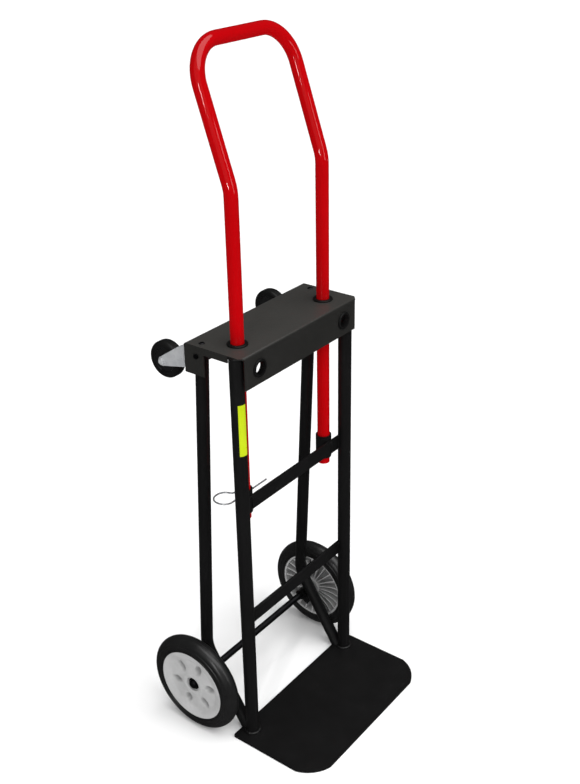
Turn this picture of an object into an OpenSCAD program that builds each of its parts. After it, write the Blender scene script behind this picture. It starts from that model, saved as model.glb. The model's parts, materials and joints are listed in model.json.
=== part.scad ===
// Convertible hand truck: a two-wheel truck whose handle lifts out, with two casters at its head
// for use as a platform.
// Millimetres. +Z is up, the toe plate points to -Y, and the floor is z = 0.

/* [Toe plate] */
// Width of the toe plate
toe_w = 355.6; // [300:1:420]
// Reach of the toe plate ahead of the front uprights
toe_front = 167; // [140:1:200]
// Reach of the toe plate behind the front uprights
toe_back = 19; // [14:1:30]
// Thickness of the toe plate
toe_t = 5; // [4:0.5:6]
// How far each front corner is cut back along both edges
toe_corner_cut = 45; // [30:1:55]
// Radius of the arc that the front corners are cut to
toe_corner_r = 66; // [56:1:90]
// Radius of the toe plate's rear corners
toe_rear_r = 3; // [2:1:10]

/* [Frame tubes] */
// Outer diameter of every frame and handle tube
tube_d = 22.2; // [20:0.1:25]
// Outside diameter of the front uprights
upright_d = 24; // [22:0.1:28]
// Wall of the tubes
tube_wall = 1.6; // [1.2:0.1:2.5]
// Half the distance between the front uprights' centre lines
upright_x = 146; // [140:1:150]
// Half the distance between the rear tubes' centre lines
rear_x = 142.8; // [140:0.1:145]
// Height of the corner where the rear tube turns forward
rear_bend_z = 149; // [140:1:160]
// Distance from the uprights back to that corner
rear_bend_back = 104.2; // [98:0.1:110]
// Angle that the rear tube leans forward above that corner
rear_lean = 3; // [2:0.1:4]
// Angle of the sloping leg below that corner, from upright
leg_slope = 31.8; // [30:0.1:33]
// Centre-line radius of the rear tube's bend
rear_bend_r = 60; // [45:1:75]

/* [Crossbars] */
// Height of a crossbar
bar_h = 27; // [24:1:32]
// Thickness of a crossbar
bar_t = 4; // [3:0.5:5]
// Distance from the uprights back to a crossbar's front face
bar_back = 6; // [4:0.5:7]
// Height of the middle of the upper crossbar
upper_bar_z = 478.7; // [460:0.1:490]
// Height of the middle of the lower crossbar
lower_bar_z = 246.3; // [230:0.1:260]

/* [Head channel] */
// Height of the channel's top face
head_z = 763.5; // [740:0.5:780]
// Half length of the channel's top plate
head_half = 156; // [154:0.5:158]
// Half length of the channel's front flange
head_front_half = 148; // [144:1:150]
// Distance from the uprights forward to the channel's front face
head_front = 19.4; // [18:0.1:24]
// Distance from the uprights back to the channel's rear face
head_back = 98.3; // [94:0.1:102]
// Depth of the channel's front flange
flange_h = 56; // [48:0.1:60]
// Depth of the channel's rear flange and end flanges
back_flange_h = 50.6; // [48:0.1:58]
// Thickness of the channel's sheet
sheet_t = 2; // [1.5:0.1:2.5]
// Outer radius of the channel's folds
fold_r = 3.5; // [3:0.5:5]
// Length of each end flange, measured forward from the rear face
end_flange_len = 40; // [36:1:44]
// Depth of the lip along each end, between the end flange and the upright
end_lip_h = 12.5; // [10:0.5:16]

/* [Handle] */
// Half the distance between the handle's legs
handle_x = 113.5; // [110:0.5:116]
// Distance from the uprights back to the handle's legs
handle_back = 23.6; // [22:0.1:26]
// Height of the lower end of the legs
handle_low_z = 444.4; // [435:0.1:452]
// Height of the corner where the legs turn rearward
handle_bend_z = 1009.8; // [980:0.1:1040]
// Angle that the upper part leans rearward
handle_tilt = 18.8; // [15:0.1:22]
// Distance from that corner to the top bar along the leaning part
handle_upper_len = 211.7; // [190:0.1:230]
// Centre-line radius where the legs turn rearward
handle_bend_r = 75; // [60:1:120]
// Centre-line radius of the top corners
handle_corner_r = 60; // [50:1:70]

/* [Sockets, bushings and lock pin] */
// Outer diameter of the sockets that hold the legs
socket_d = 28.6; // [27.5:0.1:30]
// Height of the sockets' lower end
socket_low_z = 457; // [452:1:462]
// Height of the sockets' upper rim
socket_top_z = 501; // [496:1:506]
// Outer diameter of a top bushing's collar
top_bush_d = 34; // [32:0.5:36]
// Outer diameter of a front bushing's collar
front_bush_d = 31; // [30:0.5:33]
// Height of the front bushings below the channel's top face
front_bush_drop = 28.6; // [26:0.1:30]
// Diameter of the lock pin's wire
pin_d = 3; // [2.5:0.1:3.5]
// Height of the lock pin
pin_z = 488.5; // [486:0.1:491]

/* [Wheels] */
// Radius of a wheel
wheel_r = 95; // [90:0.5:98]
// Distance of a wheel's inner face from the middle plane
wheel_in = 168; // [166:0.5:170]
// Distance of a wheel's outer face from the middle plane
wheel_out = 199.5; // [197:0.5:203]
// Outer radius of a hub
hub_r = 69.5; // [66:0.5:72]
// Distance from the uprights back to the axle
axle_back = 97; // [94:0.1:100]
// Diameter of the axle
axle_d = 12.7; // [12:0.1:13]
// Number of ribs on a hub's inner side
rib_count = 14; // [10:1:18]
// Number of pockets on a hub's outer side
pocket_count = 6; // [5:1:8]

/* [Casters] */
// Distance of a caster's swivel axis from the middle plane
caster_x = 136; // [134:0.5:137]
// Height of a caster's swivel axis
caster_z = 735; // [732:0.5:738]
// Distance from the uprights back to a caster's axle
caster_axle_back = 155; // [152:0.5:158]
// Distance that a caster's axle hangs below its swivel axis
caster_trail = 22; // [18:0.5:24]
// Radius of a caster's wheel
caster_r = 32; // [30:0.5:33]
// Width of a caster's wheel
caster_w = 21; // [19:0.5:22]

/* [Hidden] */
$fn = 64;

// Depth is measured from the uprights and centred on the whole truck.
upright_y = (toe_front - axle_back - wheel_r) / 2;
axle_y = upright_y + axle_back;
handle_y = upright_y + handle_back;
front_y = upright_y - head_front;
back_y = upright_y + head_back;
tube_r = tube_d / 2;
bore_r = tube_r - tube_wall;
upright_r = upright_d / 2;
socket_r = socket_d / 2;
axle_r = axle_d / 2;
pin_r = pin_d / 2;
under_head_z = head_z - sheet_t;
flange_low_z = head_z - flange_h;

// Clearances: around the sliding legs, around the pin, and in the running fits.
leg_gap = 0.3;
pin_gap = 0.4;
run_gap = 0.08;
side_gap = 0.4;
cut = 1;
bend_reach = 0.3;
bend_slack = 0.06;

// Bushing sizes.
collar_t = 3;
bush_wall = 2.2;
bush_len = 12;
front_bush_len = 11;
bush_r = tube_r + leg_gap;
front_bush_z = head_z - front_bush_drop;

// Rear tube path: its corner, and how far it runs above and below it.
rear_corner = [upright_y + rear_bend_back, rear_bend_z];
rear_rise = (under_head_z - rear_bend_z) / cos(rear_lean);
rear_fall = (rear_bend_z - toe_t) / cos(leg_slope);
rear_top_y = rear_corner[0] - rear_rise * sin(rear_lean);

// Axle stack, as distances from the middle plane.
bracket_in = 131;
bracket_out = 156;
block_half = 9;
block_w = 16;
sleeve_r = 10.5;
web_in = wheel_out - 9.5;
cap_seat = web_in + side_gap;
washer_t = 1.4;
cap_len = 5.5;
bush_out_r = 9;
recess_r = 14;

// End bolts and head screws sit on the rear tubes.
end_bolt_z = head_z - 17.5;
end_bolt_r = 3;
screw_r = 2.5;

// Caster stack, as depth behind the channel's rear face.
race_r = 20;
race_t = 3;
crown_t = 2.5;
stem_r = 5;
fork_t = 2;
fork_gap = caster_w / 2 + 1.6;
caster_axle_r = 3.2;
crown_y = back_y + race_t + side_gap;
caster_axle_y = upright_y + caster_axle_back;
caster_axle_z = caster_z - caster_trail;

// Lock pin: its tip, its finger loop, and the leg that lies outside the socket.
pin_tip_x = -54;
loop_x = -143.5;
loop_r = 17;
loop_flat = 2;
return_r = 8;
return_angle = 73;
clip_end_x = -104;
clip_start_x = loop_x + loop_flat * (1 + cos(return_angle)) + (loop_r + return_r) * sin(return_angle);

// ---------- helpers ----------

// The next four draw a round rod piece by piece. Each starts at the origin heading along +X,
// and carries what follows it to its own end. A bend is a hair thinner than the straight runs
// and reaches a little way into them, so that every join is one solid.

module rod_run(len, r) {
    rotate([0, 90, 0])
        cylinder(h = len, r = r);
    translate([len, 0, 0])
        children();
}

module rod_left(angle, bend_r, r) {
    reach = bend_reach / bend_r * 180 / PI;
    translate([0, bend_r, 0]) {
        rotate([0, 0, -90 - reach])
            rotate_extrude(angle = angle + 2 * reach)
            translate([bend_r, 0])
            circle(r - bend_slack);
        rotate([0, 0, angle])
            translate([0, -bend_r, 0])
            children();
    }
}

module rod_right(angle, bend_r, r) {
    rod_roll(180)
        rod_left(angle, bend_r, r)
        rod_roll(-180)
        children();
}

module rod_roll(angle) {
    rotate([angle, 0, 0])
        children();
}

// Turns the rod's plane from XY to depth and height.
module upright_plane() {
    rotate([90, 0, 90])
        children();
}

// A cylinder along X between two distances.
module x_rod(x0, x1, r, y = 0, z = 0) {
    translate([min(x0, x1), y, z])
        rotate([0, 90, 0])
        cylinder(h = abs(x1 - x0), r = r);
}

// A cylinder along Y between two depths.
module y_rod(y0, y1, r, x = 0, z = 0) {
    translate([x, y0, z])
        rotate([-90, 0, 0])
        cylinder(h = y1 - y0, r = r);
}

// A solid of revolution about X: the outline is [radius, distance from the middle plane].
module x_lathe(side) {
    rotate([0, side * 90, 0])
        rotate_extrude()
        children();
}

// A hexagon along X.
module x_hex(x0, x1, r, y, z) {
    translate([min(x0, x1), y, z])
        rotate([0, 90, 0])
        cylinder(h = abs(x1 - x0), r = r, $fn = 6);
}

// ---------- toe plate and tubes ----------

// The front corners' arcs are flatter than a quarter round, so they meet the edges at a slight angle.
module toe_outline() {
    front = -toe_front;
    arc_in = toe_corner_cut / 2 + sqrt((pow(toe_corner_r, 2) - pow(toe_corner_cut, 2) / 2) / 2);
    translate([0, upright_y]) {
        difference() {
            translate([-toe_w / 2, front])
                square([toe_w, toe_front + toe_back]);
            for (side = [-1, 1]) {
                translate([side * (toe_w / 2 - toe_corner_cut / 2), front + toe_corner_cut / 2])
                    square(toe_corner_cut + 0.001, center = true);
                translate([side * (toe_w / 2 - toe_rear_r / 2), toe_back - toe_rear_r / 2])
                    square(toe_rear_r + 0.001, center = true);
            }
        }
        for (side = [-1, 1]) {
            intersection() {
                translate([side * (toe_w / 2 - arc_in), front + arc_in])
                    circle(toe_corner_r);
                translate([side * (toe_w / 2 - toe_corner_cut / 2), front + toe_corner_cut / 2])
                    square(toe_corner_cut + 0.001, center = true);
            }
            translate([side * (toe_w / 2 - toe_rear_r), toe_back - toe_rear_r])
                circle(toe_rear_r);
        }
    }
}

module toe_plate() {
    color("#1b1b1c")
        linear_extrude(height = toe_t)
        toe_outline();
}

module front_upright(side) {
    color("#1b1b1c")
        translate([side * upright_x, upright_y, toe_t])
        difference() {
            cylinder(h = under_head_z - toe_t, r = upright_r);
            translate([0, 0, -cut])
                cylinder(h = head_z, r = upright_r - tube_wall);
        }
}

// From the foot of the upright up the sloping leg, round the bend and up to the channel.
module rear_rod(side, r, extra) {
    set_back = rear_bend_r * tan((leg_slope + rear_lean) / 2);
    translate([side * rear_x, rear_corner[0], rear_corner[1]])
        upright_plane()
        rotate([0, 0, 90 - leg_slope])
        translate([-rear_fall - extra, 0, 0])
        rod_run(rear_fall + extra - set_back, r)
        rod_left(leg_slope + rear_lean, rear_bend_r, r)
        rod_run(rear_rise + extra - set_back, r);
}

module rear_tube(side) {
    color("#1b1b1c")
        difference() {
            rear_rod(side, tube_r, tube_d);
            rear_rod(side, bore_r, tube_d + cut);
            translate([side * upright_x, upright_y, -cut])
                cylinder(h = head_z, r = upright_r);
            translate([-toe_w, -toe_w, toe_t - toe_w])
                cube([2 * toe_w, 2 * toe_w, toe_w]);
            translate([-toe_w, -toe_w, under_head_z])
                cube([2 * toe_w, 2 * toe_w, toe_w]);
            end_bolt_hole(side);
        }
}

module end_bolt_hole(side) {
    x_rod(side * (rear_x - tube_d), side * (head_half + cut), end_bolt_r, end_bolt_y(), end_bolt_z);
}

function end_bolt_y() = rear_top_y + (under_head_z - end_bolt_z) * tan(rear_lean);

// ---------- crossbars and sockets ----------

module crossbar(mid_z, notched) {
    color("#1b1b1c")
        difference() {
            translate([-upright_x, upright_y + bar_back, mid_z - bar_h / 2])
                cube([2 * upright_x, bar_t, bar_h]);
            for (side = [-1, 1]) {
                translate([side * upright_x, upright_y, 0])
                    cylinder(h = head_z, r = upright_r);
                if (notched)
                    translate([side * handle_x, handle_y, 0])
                        cylinder(h = head_z, r = socket_r);
            }
        }
}

module upper_crossbar() {
    crossbar(upper_bar_z, true);
}

module lower_crossbar() {
    crossbar(lower_bar_z, false);
}

module handle_socket(side, pinned) {
    color("#1b1b1c")
        difference() {
            translate([side * handle_x, handle_y, socket_low_z])
                cylinder(h = socket_top_z - socket_low_z, r = socket_r);
            translate([side * handle_x, handle_y, socket_low_z - cut])
                cylinder(h = socket_top_z, r = bush_r);
            if (pinned)
                x_rod(side * (handle_x - socket_d), side * (handle_x + socket_d), pin_r + pin_gap,
                      handle_y, pin_z);
        }
}

// ---------- head channel ----------

// Cross-section of the folded sheet, in depth and height, with the top face at zero.
module channel_section() {
    depth = back_y - front_y;
    translate([front_y + fold_r, -sheet_t])
        square([depth - 2 * fold_r, sheet_t]);
    translate([front_y, -flange_h])
        square([sheet_t, flange_h - fold_r]);
    translate([back_y - sheet_t, -back_flange_h])
        square([sheet_t, back_flange_h - fold_r]);
    fold_corner(front_y + fold_r, -1);
    fold_corner(back_y - fold_r, 1);
}

module fold_corner(y, side) {
    translate([y, -fold_r])
        intersection() {
            difference() {
                circle(fold_r);
                circle(fold_r - sheet_t);
            }
            translate([side > 0 ? 0 : -fold_r, 0])
                square(fold_r);
        }
}

module top_channel() {
    notch = head_half - head_front_half;
    corner_cut = (notch - 1) * sqrt(2);
    lip_inside = head_half - sheet_t - upright_x;
    lip_front_y = upright_y + sqrt(pow(upright_r, 2) - pow(lip_inside, 2)) + 0.4;
    end_flange_y = back_y - end_flange_len;
    color("#1d1d1f")
        difference() {
            union() {
                translate([-head_half, 0, head_z])
                    rotate([90, 0, 90])
                    linear_extrude(height = 2 * head_half)
                    channel_section();
                for (side = [-1, 1])
                    translate([side > 0 ? head_half - sheet_t : -head_half, 0, head_z]) {
                        translate([0, end_flange_y, -back_flange_h])
                            cube([sheet_t, end_flange_len - sheet_t, back_flange_h - sheet_t]);
                        translate([0, lip_front_y, -end_lip_h])
                            cube([sheet_t, end_flange_y + cut - lip_front_y, end_lip_h - sheet_t]);
                    }
            }
            for (side = [-1, 1]) {
                // The front flange stops short of the top plate's ends, whose corners are cut off.
                translate([side * head_half, front_y, head_z - fold_r])
                    rotate([0, 0, 45])
                    cube([corner_cut, corner_cut, 4 * fold_r], center = true);
                translate([side > 0 ? head_front_half : -head_half - cut, front_y - cut, flange_low_z - cut])
                    cube([notch + cut, sheet_t + 2 * cut, flange_h - fold_r + cut]);
                translate([side * handle_x, handle_y, head_z - sheet_t - cut])
                    cylinder(h = sheet_t + 2 * cut, r = bush_r + bush_wall);
                y_rod(front_y - cut, front_y + sheet_t + cut, bush_r + bush_wall,
                      side * handle_x, front_bush_z);
                y_rod(back_y - sheet_t - cut, back_y + cut, stem_r, side * caster_x, caster_z);
                translate([side * rear_x, rear_top_y, under_head_z - cut])
                    cylinder(h = sheet_t + 2 * cut, r = screw_r);
                end_bolt_hole(side);
            }
        }
}

// A flanged plastic sleeve along +Z with its collar's underside at zero.
module flanged_bush(collar_d, len) {
    difference() {
        union() {
            cylinder(h = collar_t - 1, r = collar_d / 2);
            translate([0, 0, collar_t - 1])
                cylinder(h = 1, r1 = collar_d / 2, r2 = collar_d / 2 - 1);
            translate([0, 0, -len])
                cylinder(h = len, r = bush_r + bush_wall);
        }
        translate([0, 0, -len - cut])
            cylinder(h = len + collar_t + 2 * cut, r = bush_r);
    }
}

module top_bushing(side) {
    color("#141414")
        translate([side * handle_x, handle_y, head_z])
        flanged_bush(top_bush_d, bush_len);
}

module front_bushing(side) {
    color("#141414")
        translate([side * handle_x, front_y, front_bush_z])
        rotate([90, 0, 0])
        flanged_bush(front_bush_d, front_bush_len - collar_t);
}

// A self-tapping screw at the top of each rear tube.
module head_screws() {
    screw_depth = 9;
    color("#2a2a2c")
        for (side = [-1, 1])
            translate([side * rear_x, rear_top_y, head_z]) {
                difference() {
                    scale([1, 1, 0.4])
                        difference() {
                            sphere(5);
                            translate([0, 0, -10])
                                cube(20, center = true);
                        }
                    translate([0, 0, 1.6])
                        cube([1, 6, 2], center = true);
                    translate([0, 0, 1.6])
                        cube([6, 1, 2], center = true);
                }
                translate([0, 0, -screw_depth])
                    cylinder(h = screw_depth, r = screw_r);
            }
}

// A hexagon bolt through each end flange and rear tube.
module end_bolts() {
    tube_in = rear_x - tube_r;
    color("#2a2a2c")
        for (side = [-1, 1]) {
            x_hex(side * head_half, side * (head_half + 2.6), 4.8, end_bolt_y(), end_bolt_z);
            x_rod(side * (tube_in - 6), side * head_half, end_bolt_r, end_bolt_y(), end_bolt_z);
            difference() {
                x_hex(side * (tube_in - 4.5), side * (tube_in - 0.1), 5.5, end_bolt_y(), end_bolt_z);
                x_rod(side * (tube_in - 5), side * tube_in, end_bolt_r, end_bolt_y(), end_bolt_z);
            }
        }
}

// A plain sticker on the front of the left upright.
module safety_label() {
    label_low = 591;
    label_high = 682;
    label_t = 0.25;
    label_turn = -17;
    label_arc = 70;
    color("#e0f000")
        translate([-upright_x, upright_y, label_low])
        rotate([0, 0, -90 + label_turn - label_arc / 2])
        rotate_extrude(angle = label_arc)
        translate([upright_r, 0])
        square([label_t, label_high - label_low]);
}

// ---------- axle ----------

module axle() {
    color("#2b2b2d")
        x_rod(-(cap_seat + washer_t + cap_len - 2), cap_seat + washer_t + cap_len - 2, axle_r,
              axle_y, wheel_r);
}

// A sleeve on the axle, joined to the sloping leg by a short block.
module axle_bracket(side) {
    slope = [-sin(leg_slope), -cos(leg_slope)];
    nearest = rear_corner + slope * (([axle_y, wheel_r] - rear_corner) * slope);
    reach = norm(nearest - [axle_y, wheel_r]);
    color("#1b1b1c")
        difference() {
            union() {
                x_rod(side * bracket_in, side * bracket_out, sleeve_r, axle_y, wheel_r);
                translate([side * rear_x, axle_y, wheel_r])
                    rotate([leg_slope, 0, 0])
                    translate([-block_w / 2, -reach, -block_half])
                    cube([block_w, reach, 2 * block_half]);
            }
            x_rod(side * (bracket_in - cut), side * (bracket_out + cut), axle_r, axle_y, wheel_r);
            rear_rod(side, tube_r, 0);
        }
}

module axle_spacers() {
    color("#8f9194")
        for (side = [-1, 1])
            difference() {
                x_rod(side * bracket_out, side * (wheel_in - side_gap), 9.5, axle_y, wheel_r);
                x_rod(side * (bracket_out - cut), side * wheel_in, axle_r, axle_y, wheel_r);
            }
}

module axle_washers() {
    color("#8f9194")
        for (side = [-1, 1])
            difference() {
                x_rod(side * cap_seat, side * (cap_seat + washer_t), 11.5, axle_y, wheel_r);
                x_rod(side * (cap_seat - cut), side * (cap_seat + washer_t + cut), axle_r, axle_y, wheel_r);
            }
}

// Push-on caps that keep the wheels on the axle.
module axle_caps() {
    seat = cap_seat + washer_t;
    color("#1a1a1b")
        for (side = [-1, 1])
            translate([0, axle_y, wheel_r])
            difference() {
                x_lathe(side)
                    polygon([[0, seat], [10, seat], [10, seat + 1.2], [8.6, seat + 1.2],
                             [8.2, seat + 4], [6.2, seat + cap_len], [0, seat + cap_len]]);
                x_rod(side * (seat - cut), side * (seat + cap_len - 2), axle_r);
            }
}

// ---------- wheels ----------

// Half outline of a solid tyre with round shoulders and a fine line around the tread.
module tyre_outline() {
    shoulder = 14;
    lip = 2.5;
    difference() {
        union() {
            translate([hub_r, wheel_in])
                square([wheel_r - hub_r - shoulder, wheel_out - wheel_in]);
            translate([hub_r, wheel_in + shoulder])
                square([wheel_r - hub_r, wheel_out - wheel_in - 2 * shoulder]);
            for (x = [wheel_in + shoulder, wheel_out - shoulder])
                translate([wheel_r - shoulder, x])
                    circle(shoulder);
        }
        for (x = [wheel_in, wheel_out])
            translate([hub_r + lip + 1, x])
                circle(0.8);
        translate([0, wheel_in - cut])
            square([hub_r, wheel_out - wheel_in + 2 * cut]);
    }
}

module tyre(side) {
    color("#19191a")
        translate([0, axle_y, wheel_r])
        x_lathe(side)
        tyre_outline();
}

// Half outline of the hub: rim, dished web and central boss with its outer recess.
module hub_outline() {
    rim_in = wheel_in + 1.5;
    rim_out = wheel_out - 0.6;
    rim_t = 4;
    boss_r = 19;
    web_t = 3.5;
    polygon([
        [bush_out_r, wheel_in],
        [boss_r - 2, wheel_in],
        [boss_r, wheel_in + 2],
        [boss_r, web_in],
        [hub_r - rim_t, web_in + 1.5],
        [hub_r - rim_t, rim_in],
        [hub_r, rim_in],
        [hub_r, rim_out],
        [hub_r - rim_t + 1.5, rim_out],
        [hub_r - rim_t - 2, web_in + 1.5 + web_t],
        [boss_r + 6, web_in + web_t + 0.5],
        [boss_r, web_in + web_t + 3],
        [recess_r, web_in + web_t + 3],
        [recess_r, web_in],
        [bush_out_r, web_in]
    ]);
}

module hub(side) {
    rib_t = 2.6;
    rib_in = wheel_in + 3;
    pocket_at = 42;
    color("#b4b5b6")
        translate([0, axle_y, wheel_r]) {
            difference() {
                union() {
                    x_lathe(side)
                        hub_outline();
                    for (i = [0 : rib_count - 1])
                        rotate([i * 360 / rib_count, 0, 0])
                            translate([side > 0 ? rib_in : -web_in - 1, 18, -rib_t / 2])
                            cube([web_in + 1 - rib_in, hub_r - 20, rib_t]);
                }
                for (i = [0 : pocket_count - 1])
                    rotate([-8 + i * 360 / pocket_count, 0, 0])
                        x_rod(side * (web_in + 3.2), side * (wheel_out + cut), 6.5, pocket_at, 0);
            }
        }
}

module wheel_bush(side) {
    color("#e3e2dc")
        translate([0, axle_y, wheel_r])
        difference() {
            x_rod(side * wheel_in, side * web_in, bush_out_r);
            x_rod(side * (wheel_in - cut), side * (web_in + cut), axle_r + run_gap);
        }
}

// ---------- casters ----------

// Fixed plate, stem and head of the swivel, held by a nut inside the channel.
module caster_mount(side) {
    color("#b9bcbf")
        translate([side * caster_x, 0, caster_z]) {
            translate([0, back_y, 0])
                rotate([-90, 0, 0])
                cylinder(h = race_t, r1 = race_r, r2 = race_r - 1.5);
            y_rod(back_y - 12, crown_y + crown_t + side_gap, stem_r);
            y_rod(crown_y + crown_t + side_gap, crown_y + crown_t + side_gap + 3.5, 7.5);
        }
}

module caster_nut(side) {
    inner_y = back_y - sheet_t;
    color("#b9bcbf")
        translate([side * caster_x, inner_y - 6, caster_z])
        rotate([-90, 0, 0])
        difference() {
            cylinder(h = 6, r = 9, $fn = 6);
            translate([0, 0, -cut])
                cylinder(h = 6 + 2 * cut, r = stem_r);
        }
}

// Side plate of the fork, in depth and height from the swivel axis at the crown.
module fork_cheek() {
    reach = caster_axle_y - crown_y;
    lug = 8;
    polygon([
        [0, -17], [0, 17], [4, 19], [9, 18], [reach + lug * 0.71, -caster_trail + lug * 0.71],
        [reach, -caster_trail - lug], [4, -19]
    ]);
    translate([reach, -caster_trail])
        circle(lug);
}

module caster_fork(side) {
    color("#c4c6c8")
        translate([side * caster_x, crown_y, caster_z])
        difference() {
            union() {
                y_rod(0, crown_t, race_r);
                for (cheek = [-1, 1])
                    translate([cheek > 0 ? fork_gap : -fork_gap - fork_t, 0, 0])
                        rotate([90, 0, 90])
                        linear_extrude(height = fork_t)
                        fork_cheek();
            }
            y_rod(-cut, crown_t + cut, stem_r + run_gap);
            x_rod(-race_r, race_r, caster_axle_r, caster_axle_y - crown_y, -caster_trail);
        }
}

module caster_axle(side) {
    end = fork_gap + fork_t;
    color("#9a9da0")
        translate([side * caster_x, caster_axle_y, caster_axle_z]) {
            x_rod(-end - 4, end, caster_axle_r);
            x_hex(end, end + 3, 5.6, 0, 0);
            difference() {
                x_hex(-end - 3.6, -end, 5.6, 0, 0);
                x_rod(-end - 5, -end + cut, caster_axle_r);
            }
        }
}

module caster_core(side) {
    half = caster_w / 2;
    core_r = 23;
    color("#1c1c1d")
        translate([side * caster_x, caster_axle_y, caster_axle_z])
        x_lathe(1)
        polygon([
            [caster_axle_r + run_gap, -half - 1], [8, -half - 1], [9, -half + 3], [core_r - 3, -half + 3],
            [core_r - 2, -half + 1], [core_r, -half + 1], [core_r, half - 1], [core_r - 2, half - 1],
            [core_r - 3, half - 3], [9, half - 3], [8, half + 1], [caster_axle_r + run_gap, half + 1]
        ]);
}

module caster_tread(side) {
    half = caster_w / 2;
    core_r = 23;
    round_r = 6;
    color("#161617")
        translate([side * caster_x, caster_axle_y, caster_axle_z])
        x_lathe(1)
        difference() {
            union() {
                translate([core_r, -half])
                    square([caster_r - core_r - round_r, caster_w]);
                translate([core_r, -half + round_r])
                    square([caster_r - core_r, caster_w - 2 * round_r]);
                for (x = [-1, 1])
                    translate([caster_r - round_r, x * (half - round_r)])
                        circle(round_r);
            }
            translate([0, -caster_w])
                square([core_r, 2 * caster_w]);
        }
}

// ---------- handle and lock pin ----------

// The whole inverted U, from the lower end of the left leg to the lower end of the right one.
module handle_rod(r, extra) {
    bend_back = handle_bend_r * tan(handle_tilt / 2);
    leg = handle_bend_z - bend_back - handle_low_z + extra;
    upper = handle_upper_len - bend_back - handle_corner_r;
    translate([-handle_x, handle_y, handle_low_z - extra])
        upright_plane()
        rotate([0, 0, 90])
        rod_run(leg, r)
        rod_right(handle_tilt, handle_bend_r, r)
        rod_run(upper, r)
        rod_roll(90)
        rod_left(90, handle_corner_r, r)
        rod_run(2 * (handle_x - handle_corner_r), r)
        rod_left(90, handle_corner_r, r)
        rod_run(upper, r)
        rod_roll(90)
        rod_left(handle_tilt, handle_bend_r, r)
        rod_run(leg, r);
}

// The left leg is slotted from its lower end up to the pin.
module handle_tube() {
    slot_r = pin_r + pin_gap;
    color("#c8060f")
        difference() {
            handle_rod(tube_r, 0);
            handle_rod(bore_r, cut);
            x_rod(-handle_x - tube_d, -handle_x + tube_d, slot_r, handle_y, pin_z);
            translate([-handle_x - tube_d, handle_y - slot_r, handle_low_z - cut])
                cube([2 * tube_d, 2 * slot_r, pin_z - handle_low_z + cut]);
        }
}

// A straight leg through the socket, a finger loop, and a second leg that lies against the socket's back.
module lock_pin() {
    flick = 25;
    color("#c9ccce")
        translate([pin_tip_x, handle_y, pin_z])
        rotate([0, 0, 180])
        rod_run(pin_tip_x - loop_x, pin_r)
        rod_right(90, loop_r, pin_r)
        rod_run(loop_flat, pin_r)
        rod_right(90, loop_r, pin_r)
        rod_run(loop_flat, pin_r)
        rod_right(return_angle, loop_r, pin_r)
        rod_run(loop_flat, pin_r)
        rod_left(return_angle, return_r, pin_r)
        rod_run(clip_end_x - clip_start_x, pin_r)
        rod_left(flick, return_r, pin_r)
        rod_run(4, pin_r);
}

// ---------- assembly ----------

toe_plate();
front_upright(-1);  // front_upright_left
front_upright(1);  // front_upright_right
rear_tube(-1);  // rear_tube_left
rear_tube(1);  // rear_tube_right
top_channel();
upper_crossbar();
lower_crossbar();
handle_socket(-1, true);  // handle_socket_left
handle_socket(1, false);  // handle_socket_right
top_bushing(-1);  // top_bushing_left
top_bushing(1);  // top_bushing_right
front_bushing(-1);  // front_bushing_left
front_bushing(1);  // front_bushing_right
head_screws();
end_bolts();
safety_label();
axle();
axle_bracket(-1);  // axle_bracket_left
axle_bracket(1);  // axle_bracket_right
axle_spacers();
axle_washers();
axle_caps();
tyre(-1);  // tyre_left
hub(-1);  // hub_left
wheel_bush(-1);  // wheel_bush_left
tyre(1);  // tyre_right
hub(1);  // hub_right
wheel_bush(1);  // wheel_bush_right
caster_mount(-1);  // caster_mount_left
caster_nut(-1);  // caster_nut_left
caster_fork(-1);  // caster_fork_left
caster_axle(-1);  // caster_axle_left
caster_core(-1);  // caster_core_left
caster_tread(-1);  // caster_tread_left
caster_mount(1);  // caster_mount_right
caster_nut(1);  // caster_nut_right
caster_fork(1);  // caster_fork_right
caster_axle(1);  // caster_axle_right
caster_core(1);  // caster_core_right
caster_tread(1);  // caster_tread_right
handle_tube();
lock_pin();
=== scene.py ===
"""Looks of the convertible hand truck: materials, wheels, welds and studio for the CAD part."""

import json
import math

import bpy
from mathutils import Matrix, Vector, noise


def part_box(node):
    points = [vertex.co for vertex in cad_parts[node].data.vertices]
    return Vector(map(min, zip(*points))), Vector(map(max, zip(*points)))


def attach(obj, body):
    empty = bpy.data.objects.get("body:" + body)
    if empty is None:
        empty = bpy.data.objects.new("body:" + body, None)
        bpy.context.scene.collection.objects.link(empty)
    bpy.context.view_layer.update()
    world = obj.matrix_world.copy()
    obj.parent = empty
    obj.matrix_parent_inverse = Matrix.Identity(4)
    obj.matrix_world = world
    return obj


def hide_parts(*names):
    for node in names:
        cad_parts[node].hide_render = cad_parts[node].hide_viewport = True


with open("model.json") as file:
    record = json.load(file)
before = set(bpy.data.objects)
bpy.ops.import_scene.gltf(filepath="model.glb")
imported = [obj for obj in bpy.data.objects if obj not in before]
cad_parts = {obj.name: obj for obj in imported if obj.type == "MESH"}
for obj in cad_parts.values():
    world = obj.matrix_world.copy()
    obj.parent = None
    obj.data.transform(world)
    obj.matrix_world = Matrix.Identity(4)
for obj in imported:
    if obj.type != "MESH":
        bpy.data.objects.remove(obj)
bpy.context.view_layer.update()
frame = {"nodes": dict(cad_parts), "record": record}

MM = 0.001
TAU = 2 * math.pi
SIDES = (("left", -1), ("right", 1))


# ---------- node helpers ----------


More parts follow.
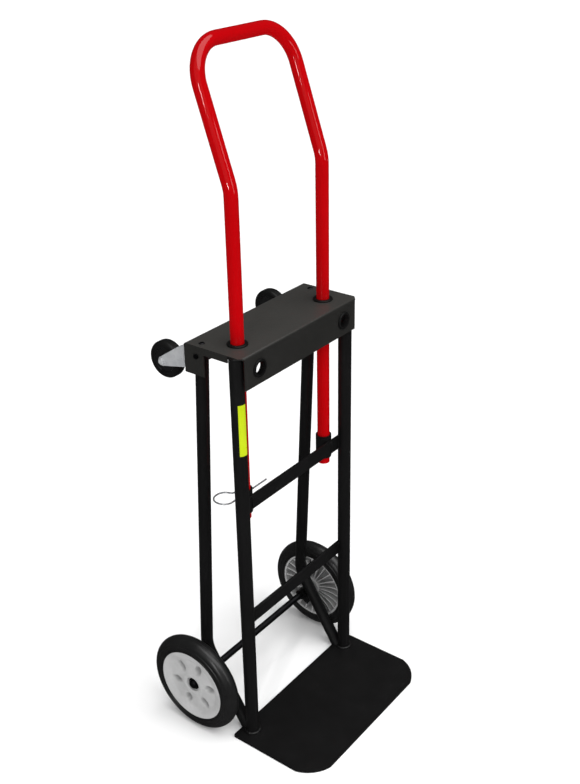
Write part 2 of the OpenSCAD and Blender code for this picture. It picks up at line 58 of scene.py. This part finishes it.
class Graph:
    """One procedural material: a Principled shader and textures in the piece's coordinates."""

    def __init__(self, name, **fixed):
        self.mat = bpy.data.materials.new(name)
        self.mat.use_nodes = True
        self.tree = self.mat.node_tree
        self.tree.nodes.clear()
        out = self.node("ShaderNodeOutputMaterial")
        self.bsdf = self.node("ShaderNodeBsdfPrincipled")
        self.tree.links.new(self.bsdf.outputs[0], out.inputs["Surface"])
        self.place = self.node("ShaderNodeTexCoord").outputs["Object"]
        for socket, value in fixed.items():
            self.bsdf.inputs[socket.replace("_", " ")].default_value = value

    def node(self, kind, **settings):
        made = self.tree.nodes.new(kind)
        for key, value in settings.items():
            setattr(made, key, value)
        return made

    def put(self, socket, value):
        if isinstance(value, bpy.types.NodeSocket):
            self.tree.links.new(value, socket)
        else:
            socket.default_value = value

    def stretched(self, scale, turn=(0, 0, 0)):
        """The piece's coordinates, scaled and turned, for textures that run one way."""
        mapping = self.node("ShaderNodeMapping")
        self.put(mapping.inputs["Vector"], self.place)
        mapping.inputs["Scale"].default_value = scale
        mapping.inputs["Rotation"].default_value = turn
        return mapping.outputs[0]

    def noise(self, scale, detail=3.0, rough=0.5, vector=None, distortion=0.0):
        made = self.node("ShaderNodeTexNoise")
        self.put(made.inputs["Vector"], vector or self.place)
        made.inputs["Scale"].default_value = scale
        made.inputs["Detail"].default_value = detail
        made.inputs["Roughness"].default_value = rough
        made.inputs["Distortion"].default_value = distortion
        return made.outputs["Fac"]

    def cells(self, scale):
        made = self.node("ShaderNodeTexVoronoi")
        self.put(made.inputs["Vector"], self.place)
        made.inputs["Scale"].default_value = scale
        return made.outputs["Distance"]

    def span(self, value, low, high, to_low=0.0, to_high=1.0):
        """Takes a value from low to high, clipped, to another range."""
        made = self.node("ShaderNodeMapRange")
        self.put(made.inputs["Value"], value)
        made.inputs["From Min"].default_value = low
        made.inputs["From Max"].default_value = high
        made.inputs["To Min"].default_value = to_low
        made.inputs["To Max"].default_value = to_high
        return made.outputs[0]

    def math(self, operation, a, b=0.0):
        made = self.node("ShaderNodeMath", operation=operation)
        self.put(made.inputs[0], a)
        self.put(made.inputs[1], b)
        return made.outputs[0]

    def blend(self, amount, a, b):
        made = self.node("ShaderNodeMix", data_type="RGBA")
        self.put(made.inputs[0], amount)
        self.put(made.inputs[6], a)
        self.put(made.inputs[7], b)
        return made.outputs[2]

    def upward(self):
        """How far a face looks up, from -1 to 1."""
        split = self.node("ShaderNodeSeparateXYZ")
        self.put(split.inputs[0], self.node("ShaderNodeTexCoord").outputs["Normal"])
        return split.outputs["Z"]

    def bump(self, height, depth, under=None):
        """Surface relief of a depth in metres, laid over the relief under it."""
        made = self.node("ShaderNodeBump")
        self.put(made.inputs["Height"], height)
        made.inputs["Strength"].default_value = 1.0
        made.inputs["Distance"].default_value = depth
        if under is not None:
            self.put(made.inputs["Normal"], under)
        return made.outputs[0]

    def finish(self, colour, rough, normal=None):
        self.put(self.bsdf.inputs["Base Color"], colour)
        self.put(self.bsdf.inputs["Roughness"], rough)
        if normal is not None:
            self.put(self.bsdf.inputs["Normal"], normal)
        return self.mat

    def scratches(self, scale, thin, turn):
        """Hairlines: one band of a stretched noise, from 0 to 1."""
        lines = self.noise(scale, 2.0, 0.5, self.stretched((1, thin, thin), turn))
        band = self.math("ABSOLUTE", self.math("SUBTRACT", lines, 0.5))
        return self.span(band, 0.0, 0.006, 1.0, 0.0)


def rgb(r, g, b):
    return (r, g, b, 1.0)


# ---------- materials ----------


def powder_coat(name, base, lighter, rough, peel, scuffed, dust_and_top_light=None, **fixed):
    """Baked powder paint: orange peel, slow changes of tone, scuffs, and on upward faces a lighter
    film, part dust and part painted top light.
    """
    g = Graph(name, **fixed)
    cloud = g.span(g.noise(9, 4, 0.6), 0.3, 0.7)
    speck = g.span(g.noise(420, 2, 0.5), 0.62, 0.8)
    tone = g.blend(g.math("MULTIPLY", cloud, 0.8), rgb(*base), rgb(*lighter))
    dust = g.math("MULTIPLY", g.math("MULTIPLY", speck, cloud), 0.25)
    tone = g.blend(dust, tone, rgb(*[c * 1.6 + 0.004 for c in lighter]))
    gloss = g.span(g.noise(26, 5, 0.62), 0.25, 0.75, rough - 0.05, rough + 0.07)
    # Painted top light, with some dust: faces that look up are lightened toward a given tone.
    if dust_and_top_light:
        facing = g.span(g.upward(), 0.55, 0.98)
        dust_and_top_light_amount = g.math("MULTIPLY", facing, g.span(g.noise(6, 4, 0.6), 0.25, 0.75, 0.72, 1.0))
        tone = g.blend(dust_and_top_light_amount, tone, rgb(*dust_and_top_light))
    long_marks = g.scratches(14, 9, (0.3, 0.2, 0.5))
    cross_marks = g.scratches(11, 12, (1.1, 0.4, 2.2))
    marks = g.math("MAXIMUM", long_marks, cross_marks)
    patch = g.span(g.noise(16, 3, 0.6), 0.5, 0.68)
    marks = g.math("MULTIPLY", g.math("MULTIPLY", marks, patch), scuffed)
    tone = g.blend(marks, tone, rgb(*[c * 1.5 + 0.03 for c in lighter]))
    gloss = g.math("ADD", gloss, g.math("MULTIPLY", marks, 0.25))
    skin = g.bump(g.noise(620, 2, 0.55), 0.00006 * peel)
    skin = g.bump(g.noise(140, 2, 0.5), 0.00010 * peel, skin)
    return g.finish(tone, gloss, skin)


def moulded_plastic(name, base, lighter, rough, grain, flow=0.0, painted_shade_tone=None, **fixed):
    """Injection-moulded plastic: fine grain, flow marks, uneven gloss, grime, and painted shade in
    its hollows.
    """
    g = Graph(name, **fixed)
    cloud = g.span(g.noise(22, 4, 0.6, distortion=flow), 0.28, 0.72)
    tone = g.blend(cloud, rgb(*base), rgb(*lighter))
    grime = g.span(g.noise(60, 5, 0.7), 0.55, 0.8)
    tone = g.blend(g.math("MULTIPLY", grime, 0.22), tone, rgb(*[c * 0.62 for c in base]))
    # Painted shade: the points marked on the mesh are darkened toward a given tone, as if shaded.
    if painted_shade_tone:
        painted_shade = g.node("ShaderNodeAttribute", attribute_name="painted_shade").outputs["Fac"]
        uneven = g.span(g.noise(70, 4, 0.6), 0.3, 0.7, 0.75, 1.0)
        tone = g.blend(g.math("MULTIPLY", painted_shade, uneven), tone, rgb(*painted_shade_tone))
    gloss = g.span(g.noise(75, 4, 0.6), 0.25, 0.75, rough - 0.06, rough + 0.08)
    skin = g.bump(g.noise(1500, 2, 0.6), 0.00003 * grain)
    skin = g.bump(g.noise(90, 3, 0.5), 0.00010 * grain, skin)
    return g.finish(tone, gloss, skin)


def rubber(name, base, lighter, rough, **fixed):
    """Cured rubber: fine pores, a bloom in broad patches, and rubbed lighter spots."""
    g = Graph(name, **fixed)
    bloom = g.span(g.noise(13, 5, 0.65), 0.35, 0.75)
    tone = g.blend(bloom, rgb(*base), rgb(*lighter))
    dust = g.math("MULTIPLY", g.span(g.noise(300, 3, 0.7), 0.58, 0.75), 0.3)
    tone = g.blend(dust, tone, rgb(*[c * 1.9 + 0.01 for c in lighter]))
    gloss = g.span(g.noise(45, 4, 0.6), 0.25, 0.75, rough - 0.07, rough + 0.08)
    pores = g.span(g.cells(900), 0.0, 0.35)
    skin = g.bump(pores, 0.00004)
    skin = g.bump(g.noise(160, 4, 0.6), 0.00014, skin)
    return g.finish(tone, gloss, skin)


def plated(name, base, darker, rough, lines=(1, 1, 1), metallic=1.0):
    """Zinc-plated or drawn steel: cloudy plating, drawing lines and small dull spots."""
    g = Graph(name, Metallic=metallic)
    cloud = g.span(g.noise(55, 4, 0.6), 0.3, 0.7)
    tone = g.blend(cloud, rgb(*base), rgb(*darker))
    spots = g.span(g.noise(260, 3, 0.6), 0.62, 0.74)
    tone = g.blend(g.math("MULTIPLY", spots, 0.5), tone, rgb(*[c * 0.45 for c in darker]))
    drawn = g.noise(700, 3, 0.6, g.stretched(lines))
    gloss = g.span(drawn, 0.3, 0.7, rough - 0.08, rough + 0.1)
    skin = g.bump(drawn, 0.00003)
    skin = g.bump(g.noise(120, 3, 0.5), 0.00006, skin)
    return g.finish(tone, gloss, skin)


def vinyl(name, base, lighter):
    """A plain coloured film: tiny bubbles, a slight wave and dirt gathered in it."""
    g = Graph(name, Specular_IOR_Level=0.18)
    cloud = g.span(g.noise(35, 3, 0.5), 0.3, 0.7)
    tone = g.blend(cloud, rgb(*base), rgb(*lighter))
    dirt = g.math("MULTIPLY", g.span(g.noise(170, 4, 0.7), 0.56, 0.75), 0.18)
    tone = g.blend(dirt, tone, rgb(*[c * 0.5 for c in base]))
    gloss = g.span(g.noise(90, 3, 0.5), 0.3, 0.7, 0.26, 0.38)
    bubbles = g.span(g.cells(260), 0.0, 0.25, 1.0, 0.0)
    skin = g.bump(bubbles, 0.00004)
    skin = g.bump(g.noise(70, 2, 0.5), 0.0001, skin)
    return g.finish(tone, gloss, skin)


MATERIALS = {
    "frame_black": powder_coat(
        "black_powder_coat",
        (0.0040, 0.0039, 0.0041),
        (0.0062, 0.0061, 0.0063),
        rough=0.33,
        peel=1.0,
        scuffed=0.3,
        dust_and_top_light=(0.0042, 0.0040, 0.0041),
        Specular_IOR_Level=0.28,
    ),
    "channel_black": powder_coat(
        "black_coated_sheet",
        (0.0130, 0.0127, 0.0116),
        (0.0180, 0.0175, 0.0160),
        rough=0.42,
        peel=1.2,
        scuffed=0.3,
        # Upward faces painted lighter, as if lit from above, with some dust.
        dust_and_top_light=(0.040, 0.039, 0.036),
        Specular_IOR_Level=0.30,
    ),
    "handle_red": powder_coat(
        "red_powder_coat",
        (0.36, 0.0004, 0.0016),
        (0.41, 0.0007, 0.0025),
        rough=0.34,
        peel=0.8,
        scuffed=0.1,
        Specular_IOR_Level=0.0,
        Coat_Weight=0.55,
        Coat_Roughness=0.05,
        Coat_IOR=1.5,
    ),
    "bushing_plastic": moulded_plastic(
        "black_nylon",
        (0.004, 0.004, 0.004),
        (0.008, 0.008, 0.008),
        rough=0.40,
        grain=1.0,
        Specular_IOR_Level=0.12,
    ),
    "tyre_rubber": rubber(
        "tyre_rubber",
        (0.0062, 0.0062, 0.0064),
        (0.0125, 0.0125, 0.0125),
        rough=0.34,
        Specular_IOR_Level=0.40,
    ),
    "hub_plastic": moulded_plastic(
        "grey_hub_plastic",
        (0.37, 0.37, 0.37),
        (0.48, 0.48, 0.48),
        rough=0.36,
        grain=1.0,
        flow=0.6,
        # Painted shade: darker in the dish's pockets and on the floor behind the ribs.
        painted_shade_tone=(0.20, 0.20, 0.20),
        Specular_IOR_Level=0.5,
    ),
    "bush_plastic": moulded_plastic(
        "white_nylon", (0.50, 0.49, 0.45), (0.58, 0.57, 0.53), rough=0.45, grain=0.8
    ),
    "zinc_steel": plated(
        "zinc_plated_steel",
        (0.56, 0.57, 0.58),
        (0.42, 0.43, 0.45),
        rough=0.34,
        lines=(1, 1, 3),
        metallic=0.35,
    ),
    "axle_steel": plated(
        "black_drawn_steel",
        (0.03, 0.03, 0.032),
        (0.014, 0.014, 0.016),
        rough=0.40,
        lines=(0.08, 1, 1),
    ),
    "cap_black": plated(
        "black_oxide_steel", (0.03, 0.03, 0.033), (0.016, 0.016, 0.018), rough=0.42
    ),
    "caster_core": moulded_plastic(
        "black_caster_core",
        (0.006, 0.006, 0.0065),
        (0.012, 0.012, 0.012),
        rough=0.36,
        grain=1.0,
        Specular_IOR_Level=0.2,
    ),
    "caster_tread": rubber(
        "caster_tread",
        (0.004, 0.004, 0.004),
        (0.008, 0.008, 0.008),
        rough=0.42,
        Specular_IOR_Level=0.16,
    ),
    "label_yellow": vinyl("yellow_film", (0.42, 0.53, 0.0), (0.47, 0.58, 0.004)),
    "pin_wire": plated(
        "bright_spring_wire",
        (0.42, 0.43, 0.44),
        (0.30, 0.31, 0.33),
        rough=0.24,
        lines=(0.1, 1, 1),
        metallic=0.6,
    ),
}

# The width in millimetres of the rounding on each sheet or bar piece's edges.
EDGE_WIDTHS = {"toe_plate": 1.2, "top_channel": 0.7, "upper_crossbar": 0.8, "lower_crossbar": 0.8}

slot_of = {part["node"]: part["material_slot"] for part in frame["record"]["subparts"]}
for node_name, cad_object in frame["nodes"].items():
    cad_object.data.materials.clear()
    cad_object.data.materials.append(MATERIALS[slot_of[node_name]])


def soften_edges(node_name, width_mm):
    """Rounds a folded or cut sheet's sharp edges as it is drawn; the mesh itself stays as it is."""
    cad_object = frame["nodes"][node_name]
    weld = cad_object.modifiers.new("join_seams", "WELD")
    weld.merge_threshold = 0.00001
    bevel = cad_object.modifiers.new("soft_edges", "BEVEL")
    bevel.width = width_mm * MM
    bevel.segments = 3
    bevel.limit_method = "ANGLE"
    bevel.angle_limit = math.radians(50)
    bevel.harden_normals = True


for sheet_name, edge_width in EDGE_WIDTHS.items():
    soften_edges(sheet_name, edge_width)


# ---------- mesh helpers ----------


def in_scene(name, data):
    """A new object in the scene that holds a light, a camera or a mesh."""
    made = bpy.data.objects.new(name, data)
    bpy.context.scene.collection.objects.link(made)
    return made


def mesh_object(name, verts, faces):
    mesh = bpy.data.meshes.new(name)
    mesh.from_pydata([tuple(v) for v in verts], [], faces)
    mesh.validate()
    mesh.update()
    return in_scene(name, mesh)


def piece(name, verts, faces, body, slot, replaced=(), sharp=32):
    """A finished piece, from millimetres: its slot's material, smoothed, and set on its body."""
    made = mesh_object(name, [Vector(v) * MM for v in verts], faces)
    made.data.materials.append(MATERIALS[slot])
    made.data.shade_smooth()
    made.data.set_sharp_from_angle(angle=math.radians(sharp))
    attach(made, body)
    if replaced:
        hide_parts(*replaced)
    return made


def ring_faces(rows, columns, close_rows, flip=False):
    """Quads between neighbouring points of rows of points, each row a closed ring."""
    faces = []
    for i in range(rows if close_rows else rows - 1):
        for j in range(columns):
            a = i * columns + j
            b = i * columns + (j + 1) % columns
            c = (i + 1) % rows * columns + (j + 1) % columns
            d = (i + 1) % rows * columns + j
            faces.append((a, d, c, b) if flip else (a, b, c, d))
    return faces


def wheel_mesh(profile_at, angles, centre, side):
    """A closed ring about X whose section may change with the angle.

    profile_at gives a section as (radius, distance outward) pairs.
    """
    verts = []
    for angle in angles:
        for radius, out in profile_at(angle):
            y = centre[0] + radius * math.cos(angle)
            z = centre[1] + radius * math.sin(angle)
            verts.append((side * out, y, z))
    count = len(verts) // len(angles)
    return verts, ring_faces(len(angles), count, True, flip=side > 0)


def smooth_step(value):
    value = min(max(value, 0.0), 1.0)
    return value * value * (3 - 2 * value)


def node_box(name):
    """A node's box in millimetres."""
    low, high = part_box(name)
    return low / MM, high / MM


# ---------- wheels ----------

# Tyre: sections round it, the shoulder's radius, and how far the wall lies inside the widest part.
TYRE_STEPS = 168
SHOULDER_R = 14.0
WALL_DROP = 0.7
# Hub's inside: ribs, half a rib's angle in degrees, and the web behind the dish.
RIBS = 24
RIB_HALF_DEG = 1.5
WEB_INSET = 9.5
WEB_T = 5.2
# Hub's outside: the dish's oval pockets, the first one's angle in degrees, and their half sizes.
POCKETS = 6
FIRST_POCKET = 50
POCKET_RING_R = 40
POCKET_HALF_LENGTH = 10.5
POCKET_HALF_WIDTH = 6.8
POCKET_DEPTH = 6.6
# The dish's section runs in steps from its rim to the boss round the axle.
DISH_STEPS = 26
DISH_OUTER_R = 65.0
DISH_INNER_R = 15.2
BOSS_R = 14.3


def arc(centre_r, centre_x, radius, start, end, steps):
    """Points of an arc in a wheel's section; 0 degrees points away from the axle and 90 outward."""
    points = []
    for i in range(steps + 1):
        turn = math.radians(start + (end - start) * i / steps)
        points.append((centre_r + radius * math.cos(turn), centre_x + radius * math.sin(turn)))
    return points


def tyre_section(hub_radius, outer, inner_x, outer_x):
    """A half-round crown with a mould line, a raised line on each wall, a groove by the hub."""
    crown = outer - 0.22
    middle = (inner_x + outer_x) / 2
    wall = outer_x - WALL_DROP
    right = [
        (hub_radius, outer_x - 0.4),
        (hub_radius + 1.8, outer_x - 0.1),
        (hub_radius + 2.6, outer_x - 0.1),
        (hub_radius + 3.1, outer_x - 1.0),
        (hub_radius + 3.9, outer_x - 1.0),
        (hub_radius + 4.5, outer_x - 0.25),
        (hub_radius + 7.0, wall),
        (80.6, wall),
        (81.3, outer_x),
        (82.3, outer_x),
        (83.1, wall - 0.15),
    ]
    right += arc(crown - SHOULDER_R, wall - SHOULDER_R, SHOULDER_R, 80, 4, 13)
    line = [
        (crown, middle + 0.75),
        (outer, middle + 0.35),
        (outer, middle - 0.35),
        (crown, middle - 0.75),
    ]
    left = [(r, inner_x + outer_x - x) for r, x in reversed(right)]
    return right + line + left


def hollow_at(angle, radius):
    """How deep in one of the dish's oval pockets a point lies, from 0 to 1."""
    depth = 0.0
    for k in range(POCKETS):
        off = (math.degrees(angle) - (FIRST_POCKET + 360 * k / POCKETS) + 180) % 360 - 180
        along = (radius - POCKET_RING_R) / POCKET_HALF_LENGTH
        across = math.radians(off) * radius / POCKET_HALF_WIDTH
        reach = math.hypot(along, across)
        depth = max(depth, smooth_step((1.28 - reach) / 0.85))
    return depth


def hub_section(angle, inner_x, outer_x, hub_radius):
    """The hub's section at one angle: ribs inside, a shallow dish with soft pockets outside."""
    turn = math.degrees(angle)
    period = 360 / RIBS
    from_rib = abs((turn + period / 2) % period - period / 2)
    on_rib = from_rib < RIB_HALF_DEG
    web = outer_x - WEB_INSET
    floor_x = web - WEB_T

    def dish(radius):
        rise = 5.6 * smooth_step((radius - 50) / 17) + 1.6 * smooth_step((40 - radius) / 22)
        ring = 1.1 * math.exp(-(((radius - 20.5) / 2.2) ** 2))
        return web + 3.2 + rise + ring - POCKET_DEPTH * hollow_at(angle, radius)

    points = [(9.0, inner_x + 0.6), (9.6, inner_x), (17.0, inner_x), (18.6, inner_x + 1.4)]
    for radius in (19.4, 24.0, 32.0, 42.0, 52.0, 60.0, 64.4):
        fall = smooth_step((radius - 24) / 16) * smooth_step((66 - radius) / 16)
        points.append((radius, inner_x + 3.2 + 2.4 * fall if on_rib else floor_x))
    points += [
        (65.3, inner_x + 3.4 if on_rib else floor_x - 1.2),
        (65.6, inner_x + 2.0),
        (66.2, inner_x + 1.4),
        (hub_radius, inner_x + 1.4),
        (hub_radius, outer_x - 0.7),
        (hub_radius - 0.6, outer_x - 0.15),
        (hub_radius - 2.0, outer_x - 0.15),
        (hub_radius - 2.8, outer_x - 0.6),
    ]
    for step in range(DISH_STEPS + 1):
        radius = DISH_OUTER_R - step * (DISH_OUTER_R - DISH_INNER_R) / DISH_STEPS
        points.append((radius, dish(radius)))
    points += [
        (BOSS_R, dish(BOSS_R) - 0.3),
        (13.8, dish(BOSS_R) - 1.4),
        (13.6, web + 0.8),
        (12.8, web),
        (9.0, web),
    ]
    return points


def rib_angles():
    """Angles round a hub, closer together at the ribs' edges."""
    period = 360 / RIBS
    offsets = [-1.9, -1.3, 0.0, 1.3, 1.9]
    clear = period - 3.8
    offsets += [1.9 + clear * k / 7 for k in range(1, 7)]
    return [math.radians(period * r + o) for r in range(RIBS) for o in offsets]


def store_painted_shade(hub, verts, centre, inner_x, outer_x):
    """Stores how much painted shade each point gets: the pockets outside and the floor inside are
    shaded.
    """
    painted_shade = hub.data.attributes.new("painted_shade", "FLOAT", "POINT")
    for vert, value in zip(verts, painted_shade.data):
        y, z = vert[1] - centre[0], vert[2] - centre[1]
        if abs(vert[0]) > outer_x - 14:
            value.value = hollow_at(math.atan2(z, y), math.hypot(y, z))
        else:
            value.value = 0.85 if abs(vert[0]) > inner_x + 8 else 0.0


def make_wheel(name, side):
    body = f"wheel_{name}"
    tyre_node, hub_node = f"tyre_{name}", f"hub_{name}"
    tyre_low, tyre_high = node_box(tyre_node)
    centre = ((tyre_low.y + tyre_high.y) / 2, (tyre_low.z + tyre_high.z) / 2)
    outer = (tyre_high.z - tyre_low.z) / 2
    inner_x, outer_x = sorted((abs(tyre_low.x), abs(tyre_high.x)))
    hub_low, hub_high = node_box(hub_node)
    hub_radius = (hub_high.z - hub_low.z) / 2

    section = tyre_section(hub_radius + 0.02, outer, inner_x, outer_x)
    angles = [TAU * i / TYRE_STEPS for i in range(TYRE_STEPS)]
    verts, faces = wheel_mesh(lambda angle: section, angles, centre, side)
    piece(f"tyre_{name}_moulded", verts, faces, body, "tyre_rubber", [tyre_node], 24)

    verts, faces = wheel_mesh(
        lambda angle: hub_section(angle, inner_x, outer_x, hub_radius), rib_angles(), centre, side
    )
    hub = piece(f"hub_{name}_moulded", verts, faces, body, "hub_plastic", [hub_node], 38)
    store_painted_shade(hub, verts, centre, inner_x, outer_x)


# ---------- welds ----------

BEAD_SIDES = 8
BEAD_SPACING = 0.65
RIPPLE_LENGTH = 2.6
# Radii of the beads at an upright's foot, at its head, beside a crossbar and beside a socket.
FOOT_BEAD = 2.7
HEAD_BEAD = 1.3
BAR_BEAD = 1.35
SOCKET_BEAD = 1.25


def bead(name, path, size, closed=False, seed=0):
    """A weld bead: a rod along a path of points, with overlapping ripples and an uneven edge."""
    path = [Vector(p) for p in path]
    count = len(path)
    verts = []
    run = 0.0
    for i, here in enumerate(path):
        before = path[i - 1] if closed or i else here
        after = path[(i + 1) % count] if closed or i < count - 1 else here
        along = (after - before).normalized()
        run += (here - before).length
        ripple = 1 + 0.16 * abs(math.sin(run * math.pi / RIPPLE_LENGTH)) - 0.08
        wobble = 1 + 0.16 * noise.noise(here * 0.35 + Vector((seed, 0, 0)))
        taper = 1.0 if closed else 0.35 + 0.65 * smooth_step(min(i, count - 1 - i) / 3)
        radius = size * ripple * wobble * taper
        helper = Vector((0, 0, 1)) if abs(along.z) < 0.9 else Vector((1, 0, 0))
        across = along.cross(helper).normalized()
        up = across.cross(along)
        for k in range(BEAD_SIDES):
            turn = TAU * k / BEAD_SIDES
            verts.append(here + radius * (math.cos(turn) * across + math.sin(turn) * up))
    faces = ring_faces(count, BEAD_SIDES, closed)
    if not closed:
        last_ring = range((count - 1) * BEAD_SIDES, count * BEAD_SIDES)
        faces += [tuple(range(BEAD_SIDES)), tuple(reversed(last_ring))]
    piece(name, verts, faces, "truck_frame", "frame_black", sharp=70)


def line_points(start, end):
    start, end = Vector(start), Vector(end)
    count = max(2, int((end - start).length / BEAD_SPACING))
    return [start.lerp(end, i / count) for i in range(count + 1)]


def circle_points(x, y, z, radius):
    """Points of a level circle."""
    count = max(8, int(TAU * radius / BEAD_SPACING))
    turns = [TAU * i / count for i in range(count)]
    return [(x + radius * math.cos(t), y + radius * math.sin(t), z) for t in turns]


def upright_line(x, y, bar_low, bar_high, inset):
    """An upright line at (x, y) over a crossbar's height, short of its edges by the inset."""
    return line_points((x, y, bar_low.z + inset), (x, y, bar_high.z - inset))


def half_chord(radius, off):
    """Half the width of a tube of a radius where a plane passes its centre at a distance."""
    return math.sqrt(max(radius**2 - off**2, 0))


def make_frame_welds(name, side):
    low, high = node_box(f"front_upright_{name}")
    x, y = (low.x + high.x) / 2, (low.y + high.y) / 2
    radius = (high.x - low.x) / 2
    foot = circle_points(x, y, low.z + 1.2, radius + 1.2)
    bead(f"weld_foot_{name}", foot, FOOT_BEAD, closed=True, seed=side)
    head = circle_points(x, y, high.z - 0.7, radius + 0.6)
    bead(f"weld_head_{name}", head, HEAD_BEAD, closed=True, seed=side + 5)

    for bar in ("upper", "lower"):
        bar_low, bar_high = node_box(f"{bar}_crossbar")
        for face, depth, out in (("front", bar_low.y, -0.4), ("rear", bar_high.y, 0.4)):
            at = x - side * (half_chord(radius, depth - y) + 0.5)
            points = upright_line(at, depth + out, bar_low, bar_high, 1.5)
            seed = side * 3 + len(bar) + len(face)
            bead(f"weld_{bar}_{face}_{name}", points, BAR_BEAD, seed=seed)

    socket_low, socket_high = node_box(f"handle_socket_{name}")
    socket_x, socket_y = (socket_low.x + socket_high.x) / 2, (socket_low.y + socket_high.y) / 2
    socket_r = (socket_high.x - socket_low.x) / 2
    bar_low, bar_high = node_box("upper_crossbar")
    for way in (-1, 1):
        at = socket_x + way * (half_chord(socket_r, bar_low.y - socket_y) + 0.4)
        points = upright_line(at, bar_low.y - 0.3, bar_low, bar_high, 3)
        end = "out" if way == side else "in"
        bead(f"weld_socket_{name}_{end}", points, SOCKET_BEAD, seed=side * 7 + way)


for wheel_name, wheel_side in SIDES:
    make_wheel(wheel_name, wheel_side)
    make_frame_welds(wheel_name, wheel_side)


# ---------- studio ----------

FLOOR_REACH = 30.0
# The surround's strength as fill light and in reflections.
FILL_STRENGTH = 0.34
REFLECTED_STRENGTH = 0.05
# Metres, degrees and millimetres.
CAMERA_PLACE = (-1.2838, -1.0017, 1.4625)
CAMERA_AZIMUTH, CAMERA_PITCH, CAMERA_ROLL = -52.1, 26.9, -1.2
CAMERA_LENS = 49.92


def make_floor():
    corners = [(-1, -1), (1, -1), (1, 1), (-1, 1)]
    verts = [(x * FLOOR_REACH, y * FLOOR_REACH, 0) for x, y in corners]
    floor = mesh_object("studio_floor", verts, [(0, 1, 2, 3)])
    g = Graph("pale_floor", Specular_IOR_Level=0.2)
    cloud = g.span(g.noise(1.5, 3, 0.5), 0.3, 0.7)
    tone = g.blend(cloud, rgb(0.91, 0.91, 0.91), rgb(0.93, 0.93, 0.93))
    floor.data.materials.append(g.finish(tone, 0.7))
    floor.visible_glossy = False


def make_world():
    """A white surround: full white where it is seen, dim as fill, almost dark in reflections."""
    world = bpy.data.worlds.new("studio_world")
    bpy.context.scene.world = world
    world.use_nodes = True
    nodes, links = world.node_tree.nodes, world.node_tree.links
    background = nodes["Background"]
    background.inputs["Color"].default_value = rgb(1.0, 1.0, 1.0)
    seen_by = nodes.new("ShaderNodeLightPath")
    dimmed = nodes.new("ShaderNodeMapRange")
    dimmed.inputs["To Min"].default_value = FILL_STRENGTH
    dimmed.inputs["To Max"].default_value = REFLECTED_STRENGTH
    brightest = nodes.new("ShaderNodeMath")
    brightest.operation = "MAXIMUM"
    links.new(seen_by.outputs["Is Glossy Ray"], dimmed.inputs["Value"])
    links.new(dimmed.outputs[0], brightest.inputs[0])
    links.new(seen_by.outputs["Is Camera Ray"], brightest.inputs[1])
    links.new(brightest.outputs[0], background.inputs["Strength"])


def area_light(name, place, target, size, power):
    data = bpy.data.lights.new(name, "AREA")
    data.shape = "RECTANGLE"
    data.size, data.size_y = size
    data.energy = power
    lamp = in_scene(name, data)
    lamp.location = place
    lamp.rotation_euler = (Vector(target) - Vector(place)).to_track_quat("-Z", "Y").to_euler()


def sun_light(name, azimuth, elevation, strength, width):
    """A broad light from one side of the sky; azimuth 0 is ahead of the truck, 90 on its right."""
    data = bpy.data.lights.new(name, "SUN")
    data.energy = strength
    data.angle = math.radians(width)
    lamp = in_scene(name, data)
    turn, rise = math.radians(azimuth), math.radians(elevation)
    level = math.cos(rise)
    toward = Vector((math.sin(turn) * level, -math.cos(turn) * level, math.sin(rise)))
    lamp.rotation_euler = toward.to_track_quat("Z", "Y").to_euler()


def make_camera():
    """The camera stands ahead and to the left of the truck, above it, and looks down at it."""
    azimuth = math.radians(CAMERA_AZIMUTH)
    pitch = math.radians(CAMERA_PITCH)
    roll = math.radians(CAMERA_ROLL)
    ahead = math.cos(pitch)
    forward = Vector((-math.sin(azimuth) * ahead, math.cos(azimuth) * ahead, -math.sin(pitch)))
    level = Vector((math.cos(azimuth), math.sin(azimuth), 0))
    upward = level.cross(forward)
    right = math.cos(roll) * level + math.sin(roll) * upward
    up = math.cos(roll) * upward - math.sin(roll) * level
    data = bpy.data.cameras.new("studio_camera")
    data.sensor_width = 36.0
    data.lens = CAMERA_LENS
    data.clip_start, data.clip_end = 0.05, 100.0
    camera = in_scene("studio_camera", data)
    turned = Matrix((right, up, -forward)).transposed().to_4x4()
    camera.matrix_world = Matrix.Translation(Vector(CAMERA_PLACE)) @ turned
    bpy.context.scene.camera = camera


make_floor()
make_world()
make_camera()
bpy.context.scene.view_settings.view_transform = "Standard"
sun_light("sky_soft", 12, 68, 2.9, 65)
sun_light("camera_soft", -62, 36, 0.4, 80)
area_light("left_upper_softbox", (-2.45, -0.90, 1.68), (0, 0, 1.15), (0.12, 0.40), 11)
area_light("left_lower_softbox", (-2.45, -0.90, 0.95), (0, 0, 1.0), (0.12, 0.24), 7)
area_light("front_softbox", (0.25, -3.0, 1.4), (0, 0, 0.8), (0.6, 1.4), 12)
